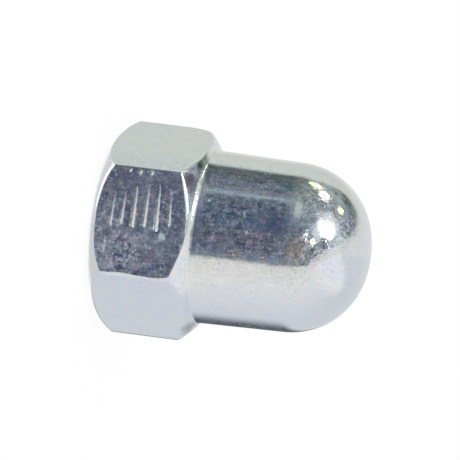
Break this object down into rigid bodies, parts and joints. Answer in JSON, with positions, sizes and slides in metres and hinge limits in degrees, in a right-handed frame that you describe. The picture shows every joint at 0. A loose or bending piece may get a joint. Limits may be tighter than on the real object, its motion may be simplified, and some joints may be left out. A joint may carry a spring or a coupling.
{
  "type": "axle nut",
  "caption": "Closed, domed axle nut: a short hexagon with crowned chamfers, a plain round sleeve and a domed end, blind tapped from its flat bearing face.",
  "frame": {"origin": "centre of the bearing face, on the thread's axis", "axes": "+Z along the thread's axis, from the bearing face towards the dome; -Y is the normal of one flat, the marked one"},
  "size_m": [0.0172, 0.015, 0.0215],
  "materials": {
    "zinc_plate": "bright zinc plate with a faint blue and violet tint, fine scuffs and one flat marked by a toothed jaw"
  },
  "bodies": {
    "root": {"axle_nut": "zinc_plate"}
  },
  "joints": []
}
